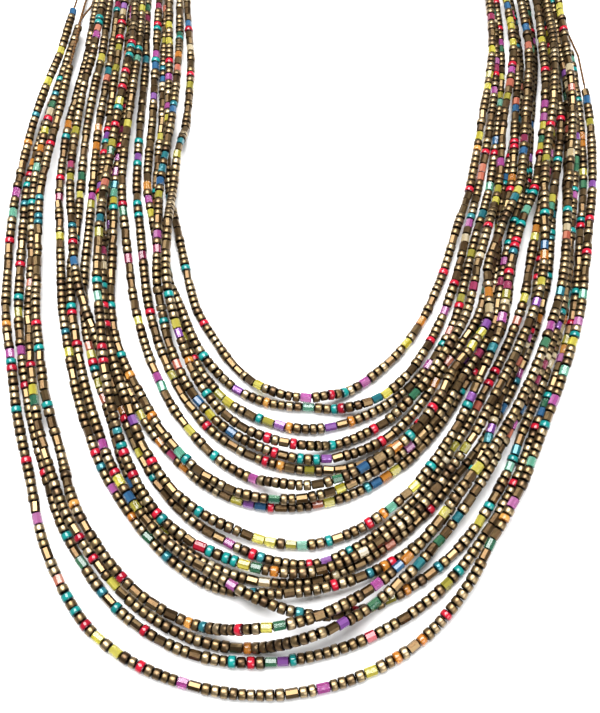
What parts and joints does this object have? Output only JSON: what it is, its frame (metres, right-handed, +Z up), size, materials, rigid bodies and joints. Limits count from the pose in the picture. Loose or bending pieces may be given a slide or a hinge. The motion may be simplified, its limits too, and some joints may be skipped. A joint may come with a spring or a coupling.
{
  "type": "multi strand bead necklace",
  "caption": "Long necklace of many strands of small round bronze glass seed beads with coloured accent beads, laid flat in a wide U, on brown threads gathered to a barrel clasp",
  "frame": {"origin": "on the surface that the necklace lies on, under the middle of its outline", "axes": "+Z up from the surface, +Y from the front of the U toward the clasp behind the neck, +X to the right as seen from above with the clasp at the top"},
  "size_m": [0.1987, 0.325, 0.0128],
  "materials": {
    "glass_beads": "glossy opaque glass seed beads with a bronze lustre and coloured accents",
    "bead_thread": "twisted brown bead thread",
    "clasp_metal": "plain polished brass"
  },
  "bodies": {
    "root": {"strand_01": "glass_beads", "strand_02": "glass_beads", "strand_03": "glass_beads", "strand_04": "glass_beads", "strand_05": "glass_beads", "strand_06": "glass_beads", "strand_07": "glass_beads", "strand_08": "glass_beads", "strand_09": "glass_beads", "strand_10": "glass_beads", "strand_11": "glass_beads", "strand_12": "glass_beads", "strand_13": "glass_beads", "strand_14": "glass_beads", "strand_15": "glass_beads", "strand_16": "glass_beads", "strand_17": "glass_beads", "strand_18": "glass_beads", "strand_19": "glass_beads", "threads_left": "bead_thread", "threads_right": "bead_thread", "clasp": "clasp_metal"}
  },
  "joints": []
}
